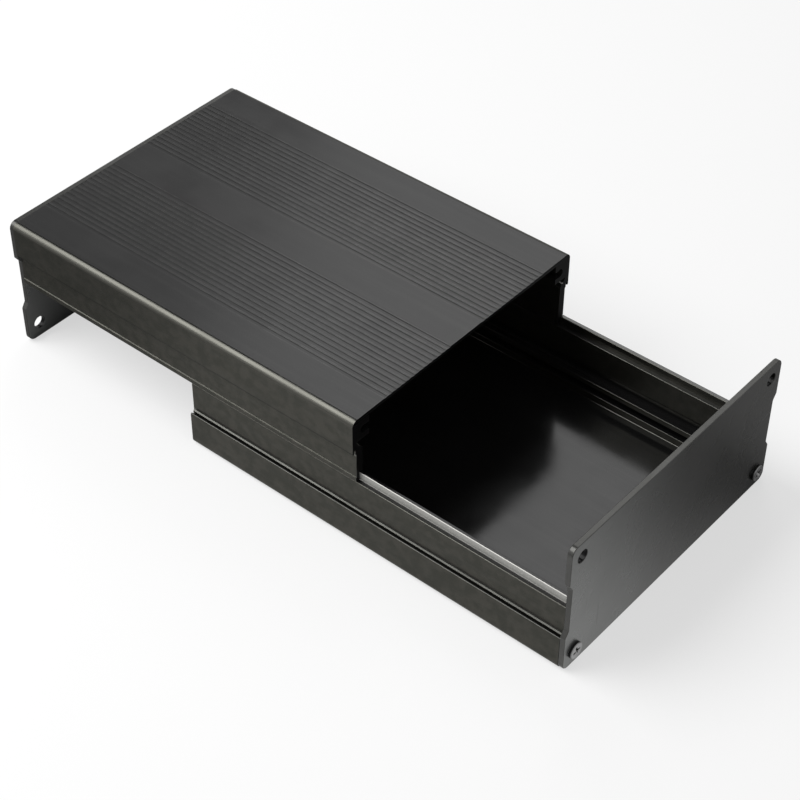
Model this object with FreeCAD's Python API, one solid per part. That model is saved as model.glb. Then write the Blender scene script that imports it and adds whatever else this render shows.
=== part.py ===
import FreeCAD, Part
import math
import os

os.makedirs("parts", exist_ok=True)

# All sizes are in millimetres. X runs along the extrusion towards the front plate,
# Y across the width away from the viewer, Z up.

# Overall sizes
LENGTH = 200.0              # length of each extruded half shell
WIDTH = 145.0               # width over the wide side bands
HEIGHT = 68.0               # height of the closed pair of shells
PULLED_OUT = 106.0          # how far the upper shell is slid back at rest

# Extrusion walls
FLOOR_T = 2.0               # thickness of the ribbed broad face
BAND_WALL_T = 2.8           # side wall behind the wide band
BAND_TOP = 17.8             # top of the wide side band
SIDE_INSET = 2.2            # middle of the side stands back by this much
RIM_WALL_T = 3.7            # side wall at the rim
CORNER_R = 3.0              # long outer corners
EDGE_R = 0.35               # small rounding of rims and lips
INNER_R = 1.0               # hollow corners

# Narrow slot between the wide band and the inset band
SLOT_LIP_T = 0.85           # lip of the wide band in front of the slot
SLOT_LIP_R = 0.55           # rounded outer edge of that lip
SLOT_LIP_IN_R = 0.15
SLOT_DEPTH = 1.8            # how far the slot goes down behind the lip
SLOT_RISE = 0.5             # the back of the slot ends this much above the lip
SLOT_STEP = 0.5             # sloping step from there in to the inset face

# Fine ribs of the broad face
RIB_COUNT = 14              # ribs in each of the two bands
RIB_PITCH = 2.87
RIB_W = 0.9
RIB_DEPTH = 0.3
RIB_BAND_START = 10.6       # half the smooth strip between the two bands

# Tongue on one rim, lip and pocket on the other
RIM_GAP = 0.3               # gap between the two rims along the seam
LEDGE_W = 2.0               # ledge outside the tongue
TONGUE_H = 4.0
TONGUE_DRAFT = 0.15         # the flank leans in by this much over its height
LIP_T = 1.7
POCKET_DEPTH = 4.2          # pocket behind the lip
BEAD_H = 2.4                # slightly raised strip along the lip
BEAD_T = 0.35

# Screw channels in the four corners of the closed enclosure
CHANNEL_SIDE = 7.0          # channel axis in from the outer side
CHANNEL_Z = 7.6             # and up from the broad face
CHANNEL_BORE_D = 4.2
CHANNEL_FRONT = 3.2         # flat face towards the inside, from the axis
CHANNEL_TOP = 4.6           # flat top, from the axis
CHANNEL_SLOT_W = 3.8        # slot that opens the bore to the inside
CHANNEL_LIP_R = 0.25
CHANNEL_FOOT_R = 0.5        # hollow rounding where the front face meets the floor
CHANNEL_COVER = 0.9         # metal kept between the channel block and the outer faces

# End plates
PLATE_T = 2.5
PLATE_CORNER_R = 3.6
PLATE_STEP_Z = 19.2         # height where the plate outline steps in
PLATE_INSET = 2.0
PLATE_STEP_LEN = 3.0        # length of the sloping step
PLATE_STEP_R = 1.0
PLATE_EDGE = 0.25           # edge break around both faces
HOLE_D = 6.0
HOLE_CHAMFER = 0.25

# Screws
HEAD_D = 7.7
HEAD_H = 1.4
HEAD_EDGE = 0.3             # sloping edge around the head
SHANK_GAP = 0.1             # shank clearance in the channel, each side
SHANK_LEN = 12.0            # below the head, tip included
TIP_LEN = 1.6
TIP_R = 0.5
RECESS_SPAN = 4.6           # cross recess, tip to tip
RECESS_W = 1.0
RECESS_DEPTH = 1.0
RECESS_FLOOR_R = 0.9        # the slots taper down to this radius
CUP_FLOOR_R = 0.3           # round cup in the middle of the cross
CUP_MOUTH_R = 1.1

# Derived sizes
HALF_W = WIDTH / 2
CHANNEL_Y = HALF_W - CHANNEL_SIDE
MID_Z = HEIGHT / 2
RIM_Z = MID_Z - RIM_GAP / 2
INSET_Y = HALF_W - SIDE_INSET
INNER_Y = INSET_Y - RIM_WALL_T
BAND_INNER_Y = HALF_W - BAND_WALL_T
JOG_TOP_Z = BAND_TOP - SLOT_DEPTH + SLOT_STEP
JOG_LOW_Z = JOG_TOP_Z - (BAND_INNER_Y - INNER_Y)
SHANK_D = CHANNEL_BORE_D - 2 * SHANK_GAP

# The middle of the whole length, screw heads included, is put at x = 0.
X_MIN = -PULLED_OUT - PLATE_T - HEAD_H
X_MAX = LENGTH + PLATE_T + HEAD_H
X_SHIFT = -(X_MIN + X_MAX) / 2
LOWER_X = X_SHIFT
UPPER_X = X_SHIFT - PULLED_OUT

VEC = FreeCAD.Vector
AXIS_X = VEC(1, 0, 0)


def rounded_wire(corners, x=0.0):
    """Closed wire in a plane across X; each corner is (y, z, rounding radius)."""
    n = len(corners)
    starts = []
    ends = []
    mids = []
    for i in range(n):
        y, z, r = corners[i]
        p = VEC(x, y, z)
        a = VEC(x, corners[i - 1][0], corners[i - 1][1]) - p
        b = VEC(x, corners[(i + 1) % n][0], corners[(i + 1) % n][1]) - p
        a.normalize()
        b.normalize()
        if r <= 0:
            starts.append(p)
            ends.append(p)
            mids.append(None)
            continue
        half = math.acos(max(-1.0, min(1.0, a.dot(b)))) / 2
        cut = r / math.tan(half)
        bisector = a + b
        bisector.normalize()
        starts.append(p + a * cut)
        ends.append(p + b * cut)
        mids.append(p + bisector * (r / math.sin(half) - r))
    edges = []
    for i in range(n):
        if mids[i] is not None:
            edges.append(Part.Arc(starts[i], mids[i], ends[i]).toShape())
        nxt = starts[(i + 1) % n]
        if ends[i].distanceToPoint(nxt) > 1e-6:
            edges.append(Part.makeLine(ends[i], nxt))
    return Part.Wire(edges)


def extrude(wire, length):
    return Part.Face(wire).extrude(VEC(length, 0, 0))


def rib_grooves():
    """Corners of the ribbed face, from one edge of the width to the other."""
    right = []
    for i in range(RIB_COUNT + 1):
        a = RIB_BAND_START + i * RIB_PITCH
        b = a + RIB_PITCH - RIB_W
        right += [(a, 0, 0), (a, RIB_DEPTH, 0), (b, RIB_DEPTH, 0), (b, 0, 0)]
    left = [(-y, z, r) for y, z, r in reversed(right)]
    return left + right


def side_band():
    """Outer corners of one side, from the broad face up to the inset band."""
    lip_y = HALF_W - SLOT_LIP_T
    back_y = INSET_Y + SLOT_STEP
    back_z = BAND_TOP + SLOT_RISE
    return [
        (HALF_W, 0, CORNER_R),
        (HALF_W, BAND_TOP, SLOT_LIP_R),
        (lip_y, BAND_TOP, SLOT_LIP_IN_R),
        (lip_y, BAND_TOP - SLOT_DEPTH, 0),
        (back_y, BAND_TOP - SLOT_DEPTH, 0),
        (back_y, back_z, 0),
        (INSET_Y, back_z + SLOT_STEP, 0),
    ]


def inner_wall():
    """Inner corners of one side, from the rim down to the floor."""
    return [
        (INNER_Y, JOG_TOP_Z, INNER_R),
        (BAND_INNER_Y, JOG_LOW_Z, INNER_R),
        (BAND_INNER_Y, FLOOR_T, INNER_R),
    ]


def tongue_rim():
    ledge_y = INSET_Y - LEDGE_W
    return [
        (INSET_Y, RIM_Z, EDGE_R),
        (ledge_y, RIM_Z, 0),
        (ledge_y - TONGUE_DRAFT, RIM_Z + TONGUE_H, EDGE_R),
        (INNER_Y, RIM_Z + TONGUE_H, EDGE_R),
    ]


def lip_rim():
    bead_y = INSET_Y + BEAD_T
    bead_z = RIM_Z - BEAD_H
    lip_y = INSET_Y - LIP_T
    return [
        (INSET_Y, bead_z - BEAD_T, 0),
        (bead_y, bead_z, 0),
        (bead_y, RIM_Z, EDGE_R),
        (lip_y, RIM_Z, EDGE_R),
        (lip_y, RIM_Z - POCKET_DEPTH, 0),
        (INNER_Y, RIM_Z - POCKET_DEPTH, EDGE_R),
    ]


def near(points):
    """The same corners on the near side, walked the other way round."""
    return [(-y, z, r) for y, z, r in reversed(points)]


def shell_outline():
    far = side_band() + lip_rim() + inner_wall()
    close = near(side_band() + tongue_rim() + inner_wall())
    return far + close + rib_grooves()


def channel_block():
    """Corners of one screw channel block: flat front and top, with the slot in its front."""
    front_y = CHANNEL_Y - CHANNEL_FRONT
    foot_y = front_y - CHANNEL_FOOT_R
    outer_y = HALF_W - CHANNEL_COVER
    slot_low = CHANNEL_Z - CHANNEL_SLOT_W / 2
    slot_high = slot_low + CHANNEL_SLOT_W
    bottom_z = RIB_DEPTH + CHANNEL_COVER
    return [
        (foot_y, FLOOR_T, 0),
        (front_y, FLOOR_T, CHANNEL_FOOT_R),
        (front_y, slot_low, CHANNEL_LIP_R),
        (CHANNEL_Y, slot_low, 0),
        (CHANNEL_Y, slot_high, 0),
        (front_y, slot_high, CHANNEL_LIP_R),
        (front_y, CHANNEL_Z + CHANNEL_TOP, CHANNEL_LIP_R),
        (outer_y, CHANNEL_Z + CHANNEL_TOP, 0),
        (outer_y, bottom_z, 0),
        (foot_y, bottom_z, 0),
    ]


def channel_bore(side):
    middle = VEC(0, side * CHANNEL_Y, CHANNEL_Z)
    return Part.makeCylinder(CHANNEL_BORE_D / 2, LENGTH, middle, AXIS_X)


def half_shell():
    """One extruded half shell, broad face down, starting at x = 0."""
    body = extrude(rounded_wire(shell_outline()), LENGTH)
    far = extrude(rounded_wire(channel_block()), LENGTH)
    close = extrude(rounded_wire(near(channel_block())), LENGTH)
    body = body.fuse([far, close])
    body = body.cut(channel_bore(1).fuse(channel_bore(-1)))
    return body.removeSplitter()


def plate_outline(inset):
    """Plate outline, pulled in all round by the given amount."""
    w = HALF_W - inset
    m = HALF_W - PLATE_INSET - inset
    zs = PLATE_STEP_Z
    s = PLATE_STEP_LEN
    r = PLATE_CORNER_R - inset
    quarter = [(w, inset, r), (w, zs, PLATE_STEP_R), (m, zs + s, PLATE_STEP_R)]
    right = quarter + [(y, HEIGHT - z, rr) for y, z, rr in reversed(quarter)]
    left = [(-y, z, rr) for y, z, rr in reversed(right)]
    return right + left


def end_plate():
    """Flat end plate between x = 0 and x = PLATE_T, with four clearance holes."""
    outer = rounded_wire(plate_outline(0), PLATE_EDGE)
    body = extrude(outer, PLATE_T - 2 * PLATE_EDGE)
    small = rounded_wire(plate_outline(PLATE_EDGE), 0)
    small_top = rounded_wire(plate_outline(PLATE_EDGE), PLATE_T)
    full_top = rounded_wire(plate_outline(0), PLATE_T - PLATE_EDGE)
    body = body.fuse(Part.makeLoft([small, outer], True))
    body = body.fuse(Part.makeLoft([full_top, small_top], True))
    tools = []
    for side in (-1, 1):
        for z in (CHANNEL_Z, HEIGHT - CHANNEL_Z):
            tools.append(hole_tool(side * CHANNEL_Y, z))
    return body.cut(tools[0].fuse(tools[1:])).removeSplitter()


def hole_tool(y, z):
    r = HOLE_D / 2
    c = HOLE_CHAMFER
    drill = Part.makeCylinder(r, PLATE_T, VEC(0, y, z), AXIS_X)
    back = Part.makeCone(r + c, r, c, VEC(0, y, z), AXIS_X)
    front = Part.makeCone(r, r + c, c, VEC(PLATE_T - c, y, z), AXIS_X)
    return drill.fuse([back, front])


def screw():
    """Pan head screw along X: head above x = 0, shank below it."""
    half = SHANK_D / 2
    outline = [
        (-SHANK_LEN, 0),
        (-SHANK_LEN, TIP_R),
        (TIP_LEN - SHANK_LEN, half),
        (0, half),
        (0, HEAD_D / 2),
        (HEAD_H - HEAD_EDGE, HEAD_D / 2),
        (HEAD_H, HEAD_D / 2 - HEAD_EDGE),
        (HEAD_H, 0),
        (-SHANK_LEN, 0),
    ]
    wire = Part.makePolygon([VEC(x, r, 0) for x, r in outline])
    body = Part.Face(wire).revolve(VEC(0, 0, 0), AXIS_X, 360)
    return body.cut(cross_recess())


def cross_recess():
    """Two crossing slots with a pointed middle, sunk into the head."""
    bottom = VEC(HEAD_H - RECESS_DEPTH, 0, 0)
    s = RECESS_SPAN / 2
    w = RECESS_W / 2
    bar_a = Part.makeBox(RECESS_DEPTH, 2 * s, 2 * w, bottom + VEC(0, -s, -w))
    bar_b = Part.makeBox(RECESS_DEPTH, 2 * w, 2 * s, bottom + VEC(0, -w, -s))
    taper = Part.makeCone(RECESS_FLOOR_R, s, RECESS_DEPTH, bottom, AXIS_X)
    cup = Part.makeCone(CUP_FLOOR_R, CUP_MOUTH_R, RECESS_DEPTH, bottom, AXIS_X)
    return bar_a.fuse(bar_b).common(taper).fuse(cup)


def flipped(shape):
    """Turned over about the length axis at mid height."""
    out = shape.copy()
    out.rotate(VEC(0, 0, MID_Z), AXIS_X, 180)
    return out


def moved(shape, x, y=0.0, z=0.0):
    out = shape.copy()
    out.translate(VEC(x, y, z))
    return out


def facing_back(shape):
    """Turned so that the outer side looks along -X."""
    out = shape.copy()
    out.rotate(VEC(0, 0, 0), VEC(0, 0, 1), 180)
    return out


def turned(shape, angle):
    out = shape.copy()
    out.rotate(VEC(0, 0, 0), AXIS_X, angle)
    return out


shell = half_shell()
plate = end_plate()
fixing = screw()

front_face_x = LOWER_X + LENGTH + PLATE_T
rear_face_x = UPPER_X - PLATE_T
high_z = HEIGHT - CHANNEL_Z

nodes = {
    "lower_shell": moved(shell, LOWER_X),
    "upper_shell": moved(flipped(shell), UPPER_X),
    "front_plate": moved(plate, LOWER_X + LENGTH),
    "rear_plate": moved(facing_back(plate), UPPER_X),
    "front_screw_near": moved(turned(fixing, 12), front_face_x, -CHANNEL_Y, CHANNEL_Z),
    "front_screw_far": moved(turned(fixing, 35), front_face_x, CHANNEL_Y, CHANNEL_Z),
    "rear_screw_near": moved(facing_back(turned(fixing, 20)), rear_face_x, -CHANNEL_Y, high_z),
    "rear_screw_far": moved(facing_back(turned(fixing, 50)), rear_face_x, CHANNEL_Y, high_z),
}

for name, shape in nodes.items():
    shape.exportStep("parts/" + name + ".step")
    box = shape.BoundBox
    print(name, len(shape.Solids), shape.isValid(), round(shape.Volume, 1),
          [round(v, 3) for v in (box.XMin, box.XMax, box.YMin, box.YMax, box.ZMin, box.ZMax)])
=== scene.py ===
import math

import bmesh
import bpy
from mathutils import Matrix, Vector


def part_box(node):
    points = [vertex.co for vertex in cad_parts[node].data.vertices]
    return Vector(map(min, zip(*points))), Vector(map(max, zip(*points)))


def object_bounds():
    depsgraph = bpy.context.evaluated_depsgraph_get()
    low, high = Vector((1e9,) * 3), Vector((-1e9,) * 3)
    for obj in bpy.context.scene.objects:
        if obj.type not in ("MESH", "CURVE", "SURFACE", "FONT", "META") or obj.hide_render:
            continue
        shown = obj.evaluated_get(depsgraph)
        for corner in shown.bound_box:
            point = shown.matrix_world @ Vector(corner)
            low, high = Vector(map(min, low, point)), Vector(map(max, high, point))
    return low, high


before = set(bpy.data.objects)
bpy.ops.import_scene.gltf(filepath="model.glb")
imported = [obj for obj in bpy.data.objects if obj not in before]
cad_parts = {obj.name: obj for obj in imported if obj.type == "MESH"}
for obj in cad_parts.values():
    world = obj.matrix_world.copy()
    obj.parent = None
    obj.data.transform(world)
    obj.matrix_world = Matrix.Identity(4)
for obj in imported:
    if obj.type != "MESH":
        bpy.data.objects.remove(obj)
cad_low, cad_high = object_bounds()

MM = 0.001

# Camera, worked out from the straight edges in the photograph
CAMERA_PLACE = (0.43543, -0.50819, 0.60696)
CAMERA_AZIMUTH = 39.883
CAMERA_ELEVATION = 42.040
CAMERA_ROLL = 0.366
CAMERA_CLIP = (0.01, 30.0)
FOCAL_PIXELS = 2006.26
PICTURE_PIXELS = 800
PICTURE_CENTRE = (399.55, 399.60)
SENSOR_MM = 36.0

# Soft lights; directions are from the object, radiance is in W / (m2 sr)
AIM = (-0.03, -0.05, 0.05)
LIGHT_DISTANCE = 1.36
KEY_FROM = (-0.48, -0.36, 0.80)
KEY_SIZE = (0.92, 1.20)
KEY_RADIANCE = 5.5
FILL_FROM = (-0.375, 0.620, 0.689)
FILL_SIZE = (0.58, 0.60)
FILL_RADIANCE = 1.5
WORLD_LEVEL = 0.34

# Table top, and the painted pool of light on it that glows white in reflections
TABLE_RADIUS = 6.0
TABLE_SEGMENTS = 96
TABLE_DROP = 0.02 * MM
TABLE_COLOUR = (0.93, 0.93, 0.93, 1)
TABLE_ROUGHNESS = 0.9
TABLE_WHITE_SHARE = 0.6
POOL_AT = (0.07, -0.145)
POOL_REACH = (0.12, 0.25)

# Black card between the two lights
CARD_AT = (-0.60, 0.22, 0.99)
CARD_SIZE = (1.00, 0.49)
CARD_COLOUR = (0.01, 0.01, 0.01, 1)

# Section of the shells. Depths are measured in from a broad face, or from the middle height.
HALF_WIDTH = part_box("lower_shell")[1].y
MID_Z = cad_high.z / 2
SKIN_DEPTH = 0.5 * MM
LONG_EDGE_REACH = 4.0 * MM
RIM_REACH = 1.5 * MM
RIM_TOP_REACH = 5.0 * MM
FLOOR_THICKNESS = 2.0 * MM
FLOOR_HALF_BAND = 0.3 * MM
STEP_RISE = 19.0 * MM
STEP_HALF_BAND = 0.75 * MM
STEP_IN = 1.9 * MM
STEP_IN_HALF_BAND = 0.40 * MM
BAND_EDGE = 17.5 * MM
SEAM_WIDTH = 0.9 * MM
SEAM_PROUD = 0.6 * MM

# Ribs of the broad faces, and the painted highlights and painted shade on them
RIB_START = 10.6 * MM
RIB_PITCH = 2.87 * MM
RIB_WIDTH = 0.9 * MM
RIB_HEIGHT = 0.3 * MM
RIB_TURNS = (-0.06, 14.75)
RIB_HIGHLIGHT_WIDTH = 0.16 * MM
RIB_HIGHLIGHT_WEAK = 0.70
CORNER_AT = 0.38 * MM
CORNER_WIDTH = 0.34 * MM

# Flank of the tongue, which the other shell scrapes, with painted highlight lines at its top and
# foot
TONGUE_FLANK_IN = 4.28 * MM
TONGUE_FLANK_BAND = 0.22 * MM
TONGUE_TOP = 3.40 * MM
TONGUE_FOOT = 0.35 * MM

# Screw holes of the plates, measured from the middle of the face
screw_low, screw_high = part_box("front_screw_far")
HOLE_Y = (screw_low.y + screw_high.y) / 2
HOLE_Z = MID_Z - (screw_low.z + screw_high.z) / 2
HOLE_RADIUS = 3.0 * MM
HOLE_SLACK = 0.05 * MM

# How metallic all the coatings are, and the colours of the shells, among them painted
# highlights, painted light and painted shade
METALLIC = 0.8
SHELL_EDGE_TINT = (0.5, 0.5, 0.5, 1.0)
FACE_COLOURS = ((0.037, 0.037, 0.037), (0.042, 0.042, 0.042))
# Side faces: a lighter, warmer copy of the coat, painted light
SIDE_PAINTED_LIGHT_COLOURS = ((0.044, 0.044, 0.037), (0.058, 0.056, 0.048))
# Groove floors, and lines in their corners: painted shade
GROOVE_SHADE_COLOUR = (0.038, 0.038, 0.038)
GROOVE_CORNER_SHADE_COLOUR = (0.034, 0.034, 0.034)
# Rib edges: painted highlight lines
RIB_HIGHLIGHT_COLOUR = (0.088, 0.088, 0.088)
# Rib walls: painted light
RIB_WALL_LIGHT_COLOUR = (0.115, 0.115, 0.113)
# Tops of the far rims only: painted light
FAR_RIM_TOP_LIGHT_COLOUR = (0.085, 0.085, 0.083)
DRAWN_LINE_COLOUR = (0.070, 0.070, 0.068)
# Rounded long edges and seam rims: painted highlight, with some rubbed wear
LONG_EDGE_HIGHLIGHT_COLOUR = (0.085, 0.084, 0.074)
# Slot's sloping step: painted highlight line
STEP_HIGHLIGHT_COLOUR = (0.115, 0.115, 0.105)
# End faces of the shells: painted shade
END_FACE_SHADE_COLOUR = (0.018, 0.018, 0.018)
SHELL_WEAR_COLOUR = (0.42, 0.42, 0.40)
# Lower edge of the upper shell's wide band: painted shadow
SEAM_SHADOW_COLOUR = (0.020, 0.020, 0.018)
SCRAPED_COLOURS = ((0.40, 0.40, 0.38), (0.58, 0.57, 0.54))
# Top and foot of the tongue flank: painted highlight lines
FLANK_EDGE_HIGHLIGHT_COLOUR = (0.72, 0.71, 0.68)

# Colours of the plates, with painted light on the near half of their faces and painted shade in
# the screw holes
PLATE_COLOURS = ((0.048, 0.048, 0.045), (0.072, 0.072, 0.069))
PLATE_MARK_COLOUR = (0.16, 0.16, 0.155)
PLATE_WEAR_COLOUR = (0.42, 0.42, 0.41)
PLATE_NEAR_LIGHT_COLOUR = (0.185, 0.189, 0.185)
# Walls of the screw holes: painted shade
HOLE_SHADE_COLOUR = (0.004, 0.004, 0.004)

# Colours of the screws, with painted shade on their sides
SCREW_COLOURS = ((0.26, 0.26, 0.26), (0.38, 0.38, 0.38))
SCREW_SIDE_SHADE_COLOUR = (0.012, 0.012, 0.012)
SCREW_WEAR_COLOUR = (0.45, 0.45, 0.44)


def add(tree, kind, inputs=None, **settings):
    """New shader node; inputs are sockets to join or values to set."""
    node = tree.nodes.new("ShaderNode" + kind)
    for key, value in settings.items():
        setattr(node, key, value)
    for key, value in (inputs or {}).items():
        if isinstance(value, bpy.types.NodeSocket):
            tree.links.new(value, node.inputs[key])
        else:
            node.inputs[key].default_value = value
    return node


def calc(tree, operation, *values):
    """Output of a Math node."""
    return add(tree, "Math", dict(enumerate(values)), operation=operation).outputs[0]


def within(tree, value, centre, half_width):
    """One where a value is closer to the centre than half the width."""
    off = calc(tree, "ABSOLUTE", calc(tree, "SUBTRACT", value, centre))
    return calc(tree, "LESS_THAN", off, half_width)


def flat_length(tree, first, second):
    """Length of the flat vector with these two parts."""
    squares = [calc(tree, "POWER", value, 2.0) for value in (first, second)]
    return calc(tree, "SQRT", calc(tree, "ADD", *squares))


def ramp(tree, value, low, high, out_low=0.0, out_high=1.0):
    """Smooth step of a value between low and high."""
    inputs = {
        "Value": value,
        "From Min": low,
        "From Max": high,
        "To Min": out_low,
        "To Max": out_high,
    }
    node = add(tree, "MapRange", inputs, interpolation_type="SMOOTHSTEP")
    return node.outputs["Result"]


def blend_colour(tree, mask, first, second):
    """First colour where the mask is zero, second where it is one."""
    node = add(tree, "Mix", {0: mask}, data_type="RGBA")
    for index, value in ((6, first), (7, second)):
        if isinstance(value, bpy.types.NodeSocket):
            tree.links.new(value, node.inputs[index])
        else:
            node.inputs[index].default_value = (*value, 1.0)
    return node.outputs[2]


def tint(tree, mask, share, under, colour):
    """A share of the colour over what is under it, where the mask says."""
    return blend_colour(tree, calc(tree, "MULTIPLY", mask, share), under, colour)


def new_group(name, inputs, outputs):
    """Shader node group with named float inputs and outputs."""
    tree = bpy.data.node_groups.new(name, "ShaderNodeTree")
    for label, value in inputs.items():
        socket = tree.interface.new_socket(label, in_out="INPUT", socket_type="NodeSocketFloat")
        socket.default_value = value
    for label in outputs:
        tree.interface.new_socket(label, in_out="OUTPUT", socket_type="NodeSocketFloat")
    source = tree.nodes.new("NodeGroupInput")
    sink = tree.nodes.new("NodeGroupOutput")
    return tree, source.outputs, sink.inputs


def place_group(tree, group, **values):
    """Outputs of a group node; a value's underscores stand for spaces."""
    node = add(tree, "Group")
    node.node_tree = group
    for label, value in values.items():
        node.inputs[label.replace("_", " ")].default_value = value
    return node.outputs


def object_point(tree, scale=(1.0, 1.0, 1.0), turn=(0.0, 0.0, 0.0)):
    """Point on the piece in metres, turned and stretched along its own axes."""
    point = add(tree, "TexCoord").outputs["Object"]
    placed = add(tree, "Mapping", {"Vector": point, "Rotation": turn, "Scale": scale})
    return placed.outputs["Vector"]


def point_parts(tree):
    """X, Y and Z of the point on the piece."""
    return add(tree, "SeparateXYZ", {0: object_point(tree)}).outputs


def noise(tree, scale, detail, point=None):
    """Noise between zero and one, scale in lumps to the metre."""
    if point is None:
        point = object_point(tree)
    node = add(tree, "TexNoise", {"Vector": point, "Scale": scale, "Detail": detail})
    return node.outputs["Fac"]


def fine_grain_group():
    """Etched grain of the coating, with a slow cloudy change over it."""
    tree, given, result = new_group(
        "fine_grain",
        {"Grain per metre": 2600.0, "Cloud per metre": 38.0},
        ["Height", "Speckle", "Cloud"],
    )
    grain = noise(tree, given["Grain per metre"], 3.0)
    cloud = noise(tree, given["Cloud per metre"], 4.0)
    tree.links.new(grain, result["Height"])
    tree.links.new(ramp(tree, grain, 0.56, 0.70), result["Speckle"])
    tree.links.new(ramp(tree, cloud, 0.36, 0.66), result["Cloud"])
    return tree


def drawn_lines_group():
    """Faint lines that the die leaves along the extrusion."""
    tree, given, result = new_group(
        "drawn_lines", {"Lines per metre": 900.0}, ["Height", "Line"]
    )
    stretched = object_point(tree, (0.012, 1.0, 1.0))
    lines = noise(tree, given["Lines per metre"], 2.0, stretched)
    tree.links.new(lines, result["Height"])
    tree.links.new(ramp(tree, lines, 0.45, 0.72), result["Line"])
    return tree


def edge_wear_group():
    """Where edges are rubbed, broken up so that no edge is evenly bright."""
    tree, given, result = new_group(
        "edge_wear", {"Radius": 0.35 * MM, "Breaks per metre": 260.0}, ["Mask"]
    )
    flat = add(tree, "NewGeometry").outputs["Normal"]
    soft = add(tree, "Bevel", {"Radius": given["Radius"]}, samples=6).outputs["Normal"]
    turn = add(tree, "VectorMath", {0: flat, 1: soft}, operation="DOT_PRODUCT").outputs["Value"]
    edge = ramp(tree, calc(tree, "SUBTRACT", 1.0, turn), 0.015, 0.12)
    patchy = ramp(tree, noise(tree, given["Breaks per metre"], 4.0), 0.40, 0.62, 0.35, 1.0)
    tree.links.new(calc(tree, "MULTIPLY", edge, patchy), result["Mask"])
    return tree


def scratches_group():
    """A few short hairline scratches and rubbed spots."""
    tree, given, result = new_group("scratches", {"Amount": 1.0}, ["Mask"])
    total = None
    for angle, scale, level in ((0.5, 55.0, 0.735), (2.1, 80.0, 0.74), (1.2, 40.0, 0.745)):
        turned = object_point(tree, (1.0, 14.0, 1.0), (angle, angle * 0.7, angle))
        streak = ramp(tree, noise(tree, scale, 3.0, turned), level - 0.06, level)
        total = streak if total is None else calc(tree, "MAXIMUM", total, streak)
    tree.links.new(calc(tree, "MULTIPLY", total, given["Amount"]), result["Mask"])
    return tree


def rib_highlight_mask(tree, place, far_side, width):
    """Painted highlight line along both edges of each rib, weaker on the edge that looks to +Y.
    """
    inner = calc(tree, "SUBTRACT", place, RIB_PITCH - RIB_WIDTH)
    outer = calc(tree, "SUBTRACT", RIB_PITCH, place)
    total = None
    for distance, near, far in ((inner, RIB_HIGHLIGHT_WEAK, 1.0), (outer, 1.0, RIB_HIGHLIGHT_WEAK)):
        level = calc(tree, "MULTIPLY_ADD", far_side, far - near, near)
        on_rib = calc(tree, "GREATER_THAN", distance, 0.0)
        line = calc(tree, "MULTIPLY", calc(tree, "LESS_THAN", distance, width), on_rib)
        line = calc(tree, "MULTIPLY", line, level)
        total = line if total is None else calc(tree, "MAXIMUM", total, line)
    breaks = noise(tree, 160.0, 3.0)
    return calc(tree, "MULTIPLY", total, ramp(tree, breaks, 0.38, 0.62, 0.55, 1.0))


def groove_corner_shade_mask(tree, place, far_side):
    """Painted shade line in both corners of each groove's floor."""
    behind = calc(tree, "SUBTRACT", RIB_PITCH - RIB_WIDTH, place)
    turned = calc(tree, "SUBTRACT", place, behind)
    behind = calc(tree, "MULTIPLY_ADD", far_side, turned, behind)
    ahead = calc(tree, "SUBTRACT", RIB_PITCH - RIB_WIDTH, behind)
    lines = [within(tree, side, CORNER_AT, CORNER_WIDTH / 2) for side in (behind, ahead)]
    return calc(tree, "MAXIMUM", *lines)


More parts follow.
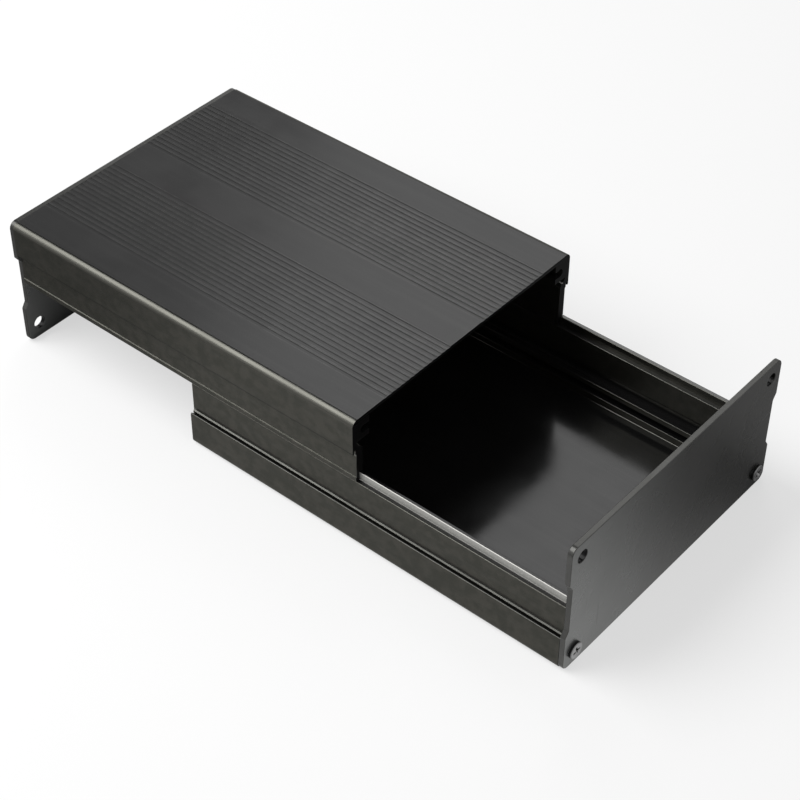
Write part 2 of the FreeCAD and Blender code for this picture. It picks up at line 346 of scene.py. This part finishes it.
def rib_marks_group():
    """Masks of the parts of the shells' section.

    Edge, Groove, Corner and Wall are on the ribs of the broad faces: painted highlight lines on
    the rib edges, painted shade on the groove floors and corners, painted light on the rib
    walls. Long edge is the rounded outer corner and the seam's rims, for a painted highlight,
    Step the slot's sloping step, for a painted highlight line, Seam the lower edge of the upper
    shell's wide band, for a painted shadow, Inner the inside of the broad face, and Rim the far
    rims' tops, which get painted light.
    """
    tree, given, result = new_group(
        "rib_marks",
        {"Edge width": RIB_HIGHLIGHT_WIDTH},
        ["Edge", "Groove", "Corner", "Long edge", "Inner", "Rim", "Step", "Seam", "Wall"],
    )
    point = point_parts(tree)
    aside = calc(tree, "ABSOLUTE", point["Y"])
    far_side = calc(tree, "GREATER_THAN", point["Y"], 0.0)
    depth = calc(tree, "ABSOLUTE", calc(tree, "SUBTRACT", point["Z"], MID_Z))
    from_face = calc(tree, "SUBTRACT", MID_Z, depth)

    skin = calc(tree, "GREATER_THAN", depth, MID_Z - SKIN_DEPTH)
    turns = calc(tree, "DIVIDE", calc(tree, "SUBTRACT", aside, RIB_START), RIB_PITCH)
    after = calc(tree, "GREATER_THAN", turns, RIB_TURNS[0])
    band = calc(tree, "MULTIPLY", after, calc(tree, "LESS_THAN", turns, RIB_TURNS[1]))
    place = calc(tree, "FRACT", calc(tree, "ADD", turns, 1.0))
    place = calc(tree, "MULTIPLY", place, RIB_PITCH)
    top = calc(tree, "GREATER_THAN", depth, MID_Z - RIB_HEIGHT / 2)
    line = rib_highlight_mask(tree, place, far_side, given["Edge width"])
    line = calc(tree, "MULTIPLY", calc(tree, "MULTIPLY", line, band), top)
    groove = calc(tree, "MULTIPLY", skin, calc(tree, "SUBTRACT", 1.0, top))
    corner = groove_corner_shade_mask(tree, place, far_side)

    rim = calc(tree, "GREATER_THAN", aside, HALF_WIDTH - LONG_EDGE_REACH)
    high = calc(tree, "GREATER_THAN", depth, MID_Z - LONG_EDGE_REACH)
    low = calc(tree, "LESS_THAN", depth, RIM_REACH)
    long_edge = calc(tree, "MULTIPLY", rim, calc(tree, "MAXIMUM", high, low))
    inset = within(tree, aside, HALF_WIDTH - STEP_IN, STEP_IN_HALF_BAND)
    step = calc(tree, "MULTIPLY", inset, within(tree, from_face, STEP_RISE, STEP_HALF_BAND))
    proud = calc(tree, "GREATER_THAN", aside, HALF_WIDTH - SEAM_PROUD)
    proud = calc(tree, "MULTIPLY", proud, calc(tree, "GREATER_THAN", point["Z"], MID_Z))
    seam = calc(tree, "MULTIPLY", within(tree, from_face, BAND_EDGE, SEAM_WIDTH / 2), proud)
    far_rim_top_light = calc(tree, "MULTIPLY", far_side, calc(tree, "LESS_THAN", depth, RIM_TOP_REACH))

    masks = {
        "Edge": line,
        "Groove": groove,
        "Corner": calc(tree, "MULTIPLY", groove, corner),
        "Wall": calc(tree, "MULTIPLY", skin, band),
        "Long edge": long_edge,
        "Step": step,
        "Seam": seam,
        "Inner": within(tree, depth, MID_Z - FLOOR_THICKNESS, FLOOR_HALF_BAND),
        "Rim": far_rim_top_light,
    }
    for label, mask in masks.items():
        tree.links.new(mask, result[label])
    return tree


FINE_GRAIN = fine_grain_group()
DRAWN_LINES = drawn_lines_group()
EDGE_WEAR = edge_wear_group()
RIB_MARKS = rib_marks_group()
SCRATCHES = scratches_group()


def new_material(name, metallic=0.0):
    """Material with nodes, its node tree and its surface shader."""
    material = bpy.data.materials.new(name)
    material.use_nodes = True
    tree = material.node_tree
    surface = tree.nodes["Principled BSDF"]
    surface.inputs["Metallic"].default_value = metallic
    return material, tree, surface


def bump(tree, surface, height, depth, edge=None):
    """Relief of the given depth, in metres; a radius softens the edges under it."""
    node = add(tree, "Bump", {"Height": height, "Strength": 1.0, "Distance": depth})
    if edge:
        soft = add(tree, "Bevel", {"Radius": edge}, samples=16)
        tree.links.new(soft.outputs["Normal"], node.inputs["Normal"])
    tree.links.new(node.outputs["Normal"], surface.inputs["Normal"])


def axis_masks(tree):
    """How far the face looks along X and along Y, and how far up."""
    normal = add(tree, "SeparateXYZ", {0: add(tree, "NewGeometry").outputs["Normal"]})
    along = calc(tree, "ABSOLUTE", normal.outputs["X"])
    across = calc(tree, "ABSOLUTE", normal.outputs["Y"])
    return along, across, normal.outputs["Z"]


def tongue_flank(tree, across):
    """The scraped flank of the tongue, and its top and foot, where painted highlight lines go.
    """
    point = point_parts(tree)
    aside = calc(tree, "ABSOLUTE", point["Y"])
    flank = within(tree, aside, HALF_WIDTH - TONGUE_FLANK_IN, TONGUE_FLANK_BAND)
    flank = calc(tree, "MULTIPLY", flank, ramp(tree, across, 0.5, 0.8))
    level = calc(tree, "ABSOLUTE", calc(tree, "SUBTRACT", point["Z"], MID_Z))
    top = calc(tree, "GREATER_THAN", level, TONGUE_TOP)
    foot = calc(tree, "LESS_THAN", level, TONGUE_FOOT)
    return flank, calc(tree, "MAXIMUM", top, foot)


def shell_finish():
    """Satin black anodised extrusion, with rubbed edges, a scraped tongue flank, and painted
    highlights, light and shade.
    """
    material, tree, surface = new_material("shell_anodised_look", METALLIC)
    surface.inputs["Specular Tint"].default_value = SHELL_EDGE_TINT
    grain = place_group(tree, FINE_GRAIN)
    mottle = place_group(tree, FINE_GRAIN, Cloud_per_metre=240.0)["Cloud"]
    lines = place_group(tree, DRAWN_LINES)
    wear = place_group(tree, EDGE_WEAR)["Mask"]
    ribs = place_group(tree, RIB_MARKS)
    along, across, upright = axis_masks(tree)
    end_face = ramp(tree, along, 0.7, 0.95)
    flank, flank_edge_highlight = tongue_flank(tree, across)
    rounding = calc(tree, "MULTIPLY", across, calc(tree, "ABSOLUTE", upright))
    rounding = calc(tree, "MULTIPLY", ramp(tree, rounding, 0.05, 0.3), ribs["Long edge"])
    rib_wall_light = calc(tree, "MULTIPLY", ribs["Wall"], ramp(tree, across, 0.5, 0.9))
    far_rim_top_light = calc(tree, "MULTIPLY", ribs["Rim"], ramp(tree, upright, 0.8, 0.95))

    face = blend_colour(tree, grain["Cloud"], *FACE_COLOURS)
    # painted shade on the groove floors and in their corners
    face = blend_colour(tree, ribs["Groove"], face, GROOVE_SHADE_COLOUR)
    face = blend_colour(tree, ribs["Corner"], face, GROOVE_CORNER_SHADE_COLOUR)
    # painted highlight lines along the rib edges
    face = blend_colour(tree, ribs["Edge"], face, RIB_HIGHLIGHT_COLOUR)
    # painted light on the up-facing tops of the far rims
    face = blend_colour(tree, far_rim_top_light, face, FAR_RIM_TOP_LIGHT_COLOUR)
    # painted light: the side faces take their own lighter, warmer colour
    side = blend_colour(tree, mottle, *SIDE_PAINTED_LIGHT_COLOURS)
    coat = blend_colour(tree, ramp(tree, across, 0.3, 0.8), face, side)
    coat = tint(tree, lines["Line"], 0.15, coat, DRAWN_LINE_COLOUR)
    # painted highlight on the rounded long edges and seam rims, with some rubbed wear
    coat = blend_colour(tree, rounding, coat, LONG_EDGE_HIGHLIGHT_COLOUR)
    # painted light on the rib walls
    coat = blend_colour(tree, rib_wall_light, coat, RIB_WALL_LIGHT_COLOUR)
    # painted highlight line on the slot's step
    coat = blend_colour(tree, ribs["Step"], coat, STEP_HIGHLIGHT_COLOUR)
    # painted shade on the end faces
    coat = blend_colour(tree, end_face, coat, END_FACE_SHADE_COLOUR)
    coat = tint(tree, wear, 0.12, coat, SHELL_WEAR_COLOUR)
    # painted shadow under the lower edge of the upper shell's wide band
    coat = blend_colour(tree, ribs["Seam"], coat, SEAM_SHADOW_COLOUR)
    scraped = blend_colour(tree, grain["Speckle"], *SCRAPED_COLOURS)
    # painted highlight lines at the top and foot of the flank
    scraped = blend_colour(tree, flank_edge_highlight, scraped, FLANK_EDGE_HIGHLIGHT_COLOUR)
    coat = blend_colour(tree, flank, coat, scraped)
    tree.links.new(coat, surface.inputs["Base Color"])

    rough = ramp(tree, grain["Cloud"], 0.0, 1.0, 0.20, 0.25)
    changes = ((ribs["Inner"], -0.07), (end_face, 0.08), (rounding, 0.14), (flank, 0.40))
    for mask, change in changes:
        rough = calc(tree, "MULTIPLY_ADD", mask, change, rough)
    tree.links.new(rough, surface.inputs["Roughness"])

    height = calc(tree, "MULTIPLY_ADD", lines["Height"], 0.10, grain["Height"])
    bump(tree, surface, height, 0.004 * MM)
    return material


def hole_wall(tree):
    """One on the walls of the four screw holes of a plate, where painted shade goes."""
    point = point_parts(tree)
    side = calc(tree, "SUBTRACT", calc(tree, "ABSOLUTE", point["Y"]), HOLE_Y)
    rise = calc(tree, "ABSOLUTE", calc(tree, "SUBTRACT", point["Z"], MID_Z))
    rise = calc(tree, "SUBTRACT", rise, HOLE_Z)
    return calc(tree, "LESS_THAN", flat_length(tree, side, rise), HOLE_RADIUS + HOLE_SLACK)


def plate_finish():
    """Satin black anodised sheet, with light scuffs and small dents, and painted light on its
    near half.
    """
    material, tree, surface = new_material("plate_anodised_look", METALLIC)
    grain = place_group(tree, FINE_GRAIN, Cloud_per_metre=26.0)
    wear = place_group(tree, EDGE_WEAR)["Mask"]
    marks = place_group(tree, SCRATCHES)["Mask"]
    along = axis_masks(tree)[0]
    aside = point_parts(tree)["Y"]
    # painted light, lighter towards the near side of the faces that look along X
    near_side_light = ramp(tree, aside, -0.95 * HALF_WIDTH, 0.3 * HALF_WIDTH, 0.85, 0.0)
    near_side_light = calc(tree, "MULTIPLY", near_side_light, ramp(tree, along, 0.8, 0.98))

    coat = blend_colour(tree, grain["Cloud"], *PLATE_COLOURS)
    coat = tint(tree, marks, 0.25, coat, PLATE_MARK_COLOUR)
    coat = tint(tree, wear, 0.15, coat, PLATE_WEAR_COLOUR)
    coat = blend_colour(tree, near_side_light, coat, PLATE_NEAR_LIGHT_COLOUR)
    # painted shade in the screw holes
    coat = blend_colour(tree, hole_wall(tree), coat, HOLE_SHADE_COLOUR)
    tree.links.new(coat, surface.inputs["Base Color"])

    rough = ramp(tree, grain["Cloud"], 0.0, 1.0, 0.26, 0.34)
    rough = calc(tree, "MULTIPLY_ADD", marks, 0.12, rough)
    tree.links.new(rough, surface.inputs["Roughness"])

    dent = ramp(tree, noise(tree, 240.0, 4.0), 0.56, 0.74)
    height = calc(tree, "MULTIPLY_ADD", dent, -8.0, grain["Height"])
    bump(tree, surface, height, 0.005 * MM, 0.15 * MM)
    return material


def screw_finish():
    """Black plated steel, rubbed on its rims, with painted shade on its sides."""
    material, tree, surface = new_material("screw_black_look", METALLIC)
    grain = place_group(tree, FINE_GRAIN, Cloud_per_metre=240.0)
    wear = place_group(tree, EDGE_WEAR, Radius=0.25 * MM)["Mask"]
    along = axis_masks(tree)[0]
    coat = blend_colour(tree, grain["Cloud"], *SCREW_COLOURS)
    # painted shade on the screws' sides
    coat = blend_colour(tree, ramp(tree, along, 0.5, 0.9), SCREW_SIDE_SHADE_COLOUR, coat)
    coat = tint(tree, wear, 0.35, coat, SCREW_WEAR_COLOUR)
    tree.links.new(coat, surface.inputs["Base Color"])
    rough = ramp(tree, grain["Cloud"], 0.0, 1.0, 0.28, 0.40)
    tree.links.new(rough, surface.inputs["Roughness"])
    bump(tree, surface, grain["Height"], 0.003 * MM, 0.10 * MM)
    return material


def dress_nodes():
    """Puts each finish on the nodes whose names hold its word."""
    looks = {"shell": shell_finish(), "plate": plate_finish(), "screw": screw_finish()}
    for name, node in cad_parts.items():
        for kind, material in looks.items():
            if kind in name:
                node.material_slots[0].material = material


def seen_directly(tree):
    """One for rays from the camera, from a reflection and through glass."""
    path = add(tree, "LightPath").outputs
    seen = calc(tree, "MAXIMUM", path["Is Camera Ray"], path["Is Glossy Ray"])
    return calc(tree, "MAXIMUM", seen, path["Is Transmission Ray"])


def place_mesh(name, shape, material):
    """Object in the scene with the shape's mesh and one material."""
    mesh = bpy.data.meshes.new(name)
    shape.to_mesh(mesh)
    shape.free()
    mesh.materials.append(material)
    thing = bpy.data.objects.new(name, mesh)
    bpy.context.scene.collection.objects.link(thing)
    return thing


def table_material():
    """Pale table that shows nearly white, and glows white in reflections in a painted pool of
    light.
    """
    material, tree, surface = new_material("pale_table")
    surface.inputs["Base Color"].default_value = TABLE_COLOUR
    surface.inputs["Roughness"].default_value = TABLE_ROUGHNESS
    surface.inputs["Specular IOR Level"].default_value = 0.0
    point = point_parts(tree)
    far_x = calc(tree, "SUBTRACT", point["X"], POOL_AT[0])
    far_y = calc(tree, "SUBTRACT", point["Y"], POOL_AT[1])
    pool = ramp(tree, flat_length(tree, far_x, far_y), *POOL_REACH, 1.0, 0.0)
    level = calc(tree, "MAXIMUM", pool, add(tree, "LightPath").outputs["Is Camera Ray"])
    white = add(tree, "Emission", {"Color": (1, 1, 1, 1), "Strength": level})
    share = calc(tree, "MULTIPLY", seen_directly(tree), TABLE_WHITE_SHARE)
    both = add(tree, "MixShader", {0: share, 1: surface.outputs[0], 2: white.outputs[0]})
    tree.links.new(both.outputs[0], tree.nodes["Material Output"].inputs["Surface"])
    return material


def make_floor():
    """Pale table top, far wider than the object."""
    shape = bmesh.new()
    bmesh.ops.create_circle(
        shape, cap_ends=True, segments=TABLE_SEGMENTS, radius=TABLE_RADIUS
    )
    bmesh.ops.translate(shape, vec=(0, 0, -TABLE_DROP), verts=shape.verts)
    top = place_mesh("table_top", shape, table_material())


def facing(direction):
    """Turn of a flat thing that lies in this direction and looks back."""
    back = Vector(direction).normalized()
    across = Vector((1.0, 0.0, 0.0))
    across = (across - back * back.dot(across)).normalized()
    return Matrix((across, back.cross(across), back)).transposed()


def make_dark_card():
    """Black card between the two soft lights, which only reflections show."""
    shape = bmesh.new()
    bmesh.ops.create_grid(shape, x_segments=1, y_segments=1, size=0.5)
    size = Matrix.Diagonal((*CARD_SIZE, 1.0, 1.0))
    shape.transform(Matrix.Translation(CARD_AT) @ facing(CARD_AT).to_4x4() @ size)
    material, _, surface = new_material("dark_card")
    surface.inputs["Base Color"].default_value = CARD_COLOUR
    card = place_mesh("dark_card", shape, material)
    for kind in ("camera", "diffuse", "shadow", "transmission", "volume_scatter"):
        setattr(card, "visible_" + kind, False)


def make_world():
    """Even white surroundings, which light the object less than they show."""
    world = bpy.data.worlds.new("studio")
    bpy.context.scene.world = world
    world.use_nodes = True
    tree = world.node_tree
    level = calc(tree, "MULTIPLY_ADD", seen_directly(tree), 1.0 - WORLD_LEVEL, WORLD_LEVEL)
    background = tree.nodes["Background"]
    background.inputs["Color"].default_value = (1, 1, 1, 1)
    tree.links.new(level, background.inputs["Strength"])


def softbox(name, direction, size, radiance):
    """Rectangular soft light that looks at the object."""
    data = bpy.data.lights.new(name, "AREA")
    data.shape = "RECTANGLE"
    data.size, data.size_y = size
    data.energy = radiance * math.pi * size[0] * size[1]
    light = bpy.data.objects.new(name, data)
    bpy.context.scene.collection.objects.link(light)
    light.location = Vector(AIM) + Vector(direction).normalized() * LIGHT_DISTANCE
    light.rotation_euler = facing(direction).to_euler()
    light.visible_camera = False


def make_camera():
    """The photograph's camera."""
    azimuth = math.radians(CAMERA_AZIMUTH)
    elevation = math.radians(CAMERA_ELEVATION)
    back = Vector((
        math.sin(azimuth) * math.cos(elevation),
        -math.cos(azimuth) * math.cos(elevation),
        math.sin(elevation),
    ))
    right = Vector((math.cos(azimuth), math.sin(azimuth), 0.0))
    turn = Matrix((right, back.cross(right), back)).transposed()
    turn = turn @ Matrix.Rotation(math.radians(CAMERA_ROLL), 3, "Z")
    data = bpy.data.cameras.new("camera")
    data.sensor_width = SENSOR_MM
    data.lens = FOCAL_PIXELS / PICTURE_PIXELS * SENSOR_MM
    data.shift_x = (PICTURE_PIXELS / 2 - PICTURE_CENTRE[0]) / PICTURE_PIXELS
    data.shift_y = (PICTURE_CENTRE[1] - PICTURE_PIXELS / 2) / PICTURE_PIXELS
    data.clip_start, data.clip_end = CAMERA_CLIP
    camera = bpy.data.objects.new("camera", data)
    bpy.context.scene.collection.objects.link(camera)
    camera.matrix_world = Matrix.Translation(CAMERA_PLACE) @ turn.to_4x4()
    bpy.context.scene.camera = camera


make_camera()
make_floor()
make_world()
softbox("key_light", KEY_FROM, KEY_SIZE, KEY_RADIANCE)
softbox("fill_light", FILL_FROM, FILL_SIZE, FILL_RADIANCE)
make_dark_card()
dress_nodes()

bpy.context.scene.view_settings.view_transform = "Standard"
